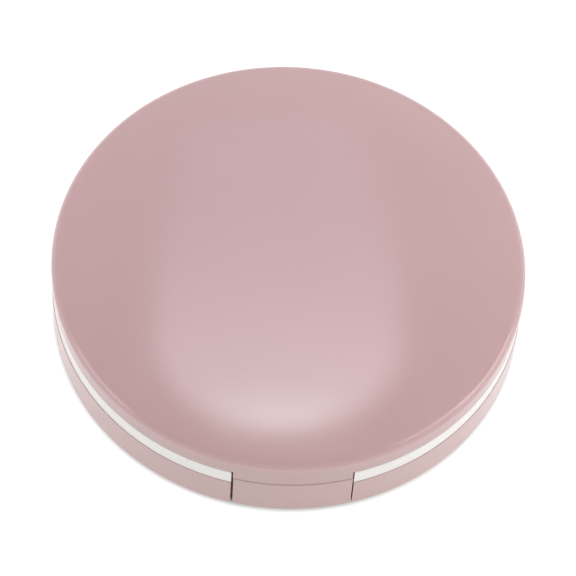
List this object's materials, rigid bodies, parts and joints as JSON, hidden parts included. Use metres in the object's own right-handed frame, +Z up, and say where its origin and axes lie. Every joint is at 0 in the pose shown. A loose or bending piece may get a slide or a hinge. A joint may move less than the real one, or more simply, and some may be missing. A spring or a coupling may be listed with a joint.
{
  "type": "pill splitter",
  "caption": "Round compact pill splitter: domed hinged lid with a guarded blade, soft V-shaped cradle in a tray with storage wells, and a front release button.",
  "frame": {"origin": "centre of the bounding box's bottom face, in the plane of the feet", "axes": "+Z up through the lid's crown, +Y towards the hinge, -Y towards the release button, +X to the right of a user who faces the button"},
  "size_m": [0.08, 0.08, 0.023],
  "materials": {
    "pink_shell": "satin",
    "white_plastic": "satin",
    "seal_silicone": "matt",
    "cradle_silicone": "matt",
    "blade_steel": "ground and polished",
    "guard_clear": "clear moulded plastic",
    "screw_steel": "plated",
    "pin_steel": "polished",
    "spring_steel": "drawn wire",
    "foot_silicone": "matt"
  },
  "bodies": {
    "base": {"base_shell": "pink_shell", "tray": "white_plastic", "pill_cradle": "cradle_silicone", "hinge_pin": "pin_steel", "button_spring_left": "spring_steel", "button_spring_right": "spring_steel", "case_screw_1": "screw_steel", "case_screw_2": "screw_steel", "case_screw_3": "screw_steel", "case_screw_4": "screw_steel", "foot_1": "foot_silicone", "foot_2": "foot_silicone", "foot_3": "foot_silicone", "foot_4": "foot_silicone"},
    "lid": {"lid_shell": "pink_shell", "lid_liner": "white_plastic", "lid_seal": "seal_silicone", "blade": "blade_steel", "blade_clamp_front": "white_plastic", "blade_clamp_rear": "white_plastic", "blade_screw_front": "screw_steel", "blade_screw_rear": "screw_steel", "guard_spring_left": "spring_steel", "guard_spring_right": "spring_steel", "liner_screw_1": "screw_steel", "liner_screw_2": "screw_steel", "liner_screw_3": "screw_steel", "liner_screw_4": "screw_steel"},
    "guard": {"blade_guard": "guard_clear"},
    "button": {"release_button": "pink_shell"}
  },
  "joints": [
    {"name": "lid_hinge", "type": "hinge", "parent": "base", "child": "lid", "pos_m": [0, 0.038, 0.01115], "axis": [-1, 0, 0], "range_deg": [0, 115]},
    {"name": "guard_slide", "type": "slide", "parent": "lid", "child": "guard", "axis": [0, 0, -1], "range_m": [0, 0.0052], "deforming": ["guard_spring_left", "guard_spring_right"]},
    {"name": "button_press", "type": "slide", "parent": "base", "child": "button", "axis": [0, 1, 0], "range_m": [0, 0.0015], "stiffness_N_per_m": 300, "springref_m": -0.002, "deforming": ["button_spring_left", "button_spring_right"]}
  ],
  "couplings": [
    {"joint": "guard_slide", "follows": "lid_hinge", "m_per_rad": 0.00259}
  ]
}
